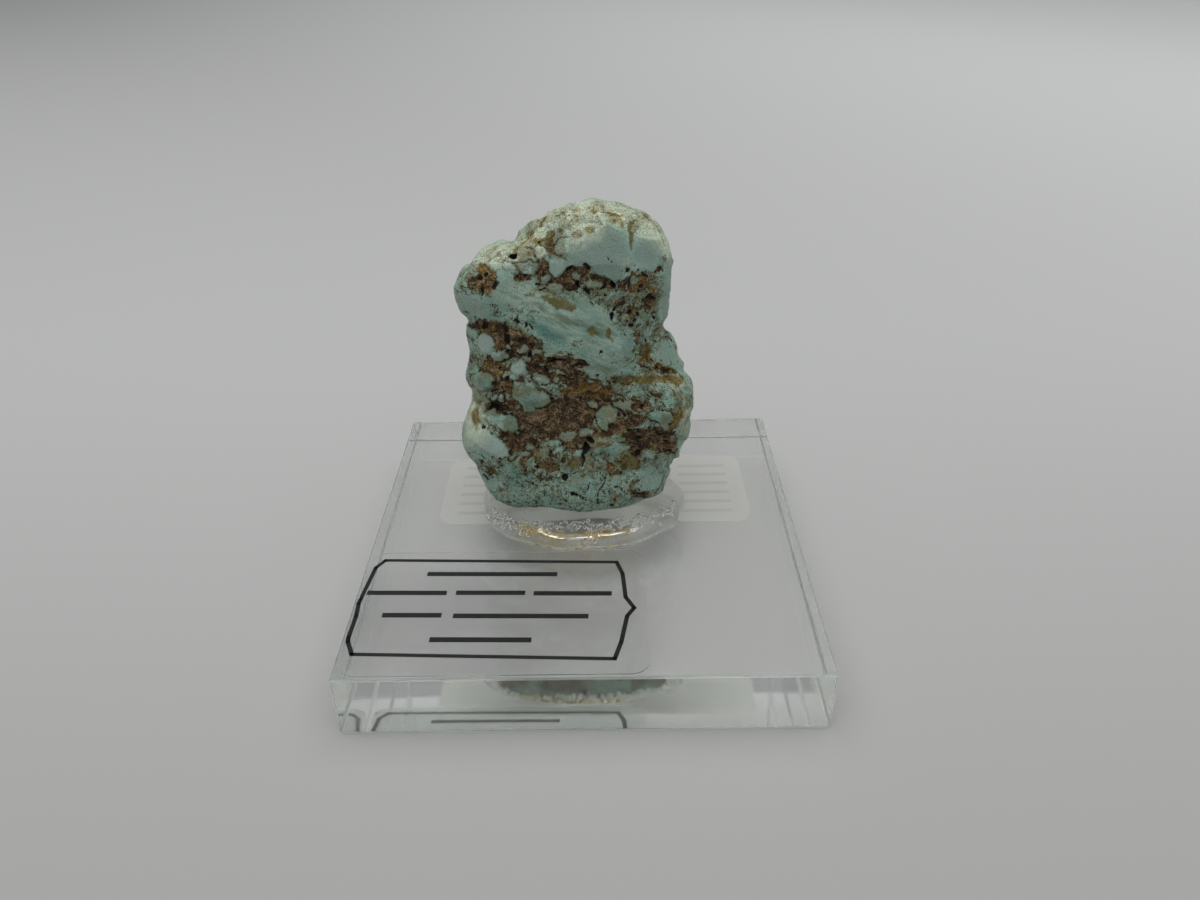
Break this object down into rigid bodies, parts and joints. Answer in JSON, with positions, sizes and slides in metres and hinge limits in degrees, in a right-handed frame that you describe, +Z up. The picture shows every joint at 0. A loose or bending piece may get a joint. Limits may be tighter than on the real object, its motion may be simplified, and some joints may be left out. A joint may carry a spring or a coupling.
{
  "type": "raw turquoise nugget on an acrylic slab",
  "caption": "Upright raw turquoise nugget with brown matrix, glued to a square slab of clear acrylic that carries a clear and a white sticker.",
  "frame": {"origin": "on the surface that it stands on, below the centre of the slab", "axes": "+Z up along the standing stone, +X to the right, -Y to the front edge that has the clear sticker"},
  "size_m": [0.0636, 0.0636, 0.057],
  "materials": {
    "stone": "raw turquoise with dark brown and ochre matrix, waxy to matte",
    "adhesive": "clear set adhesive with small bubbles",
    "acrylic": "polished clear acrylic",
    "film": "clear sticker film with a black printed border",
    "paper": "white paper sticker"
  },
  "bodies": {
    "root": {"nugget": "stone", "glue_pad": "adhesive", "acrylic_slab": "acrylic", "front_label": "film", "underside_label": "paper"}
  },
  "joints": []
}
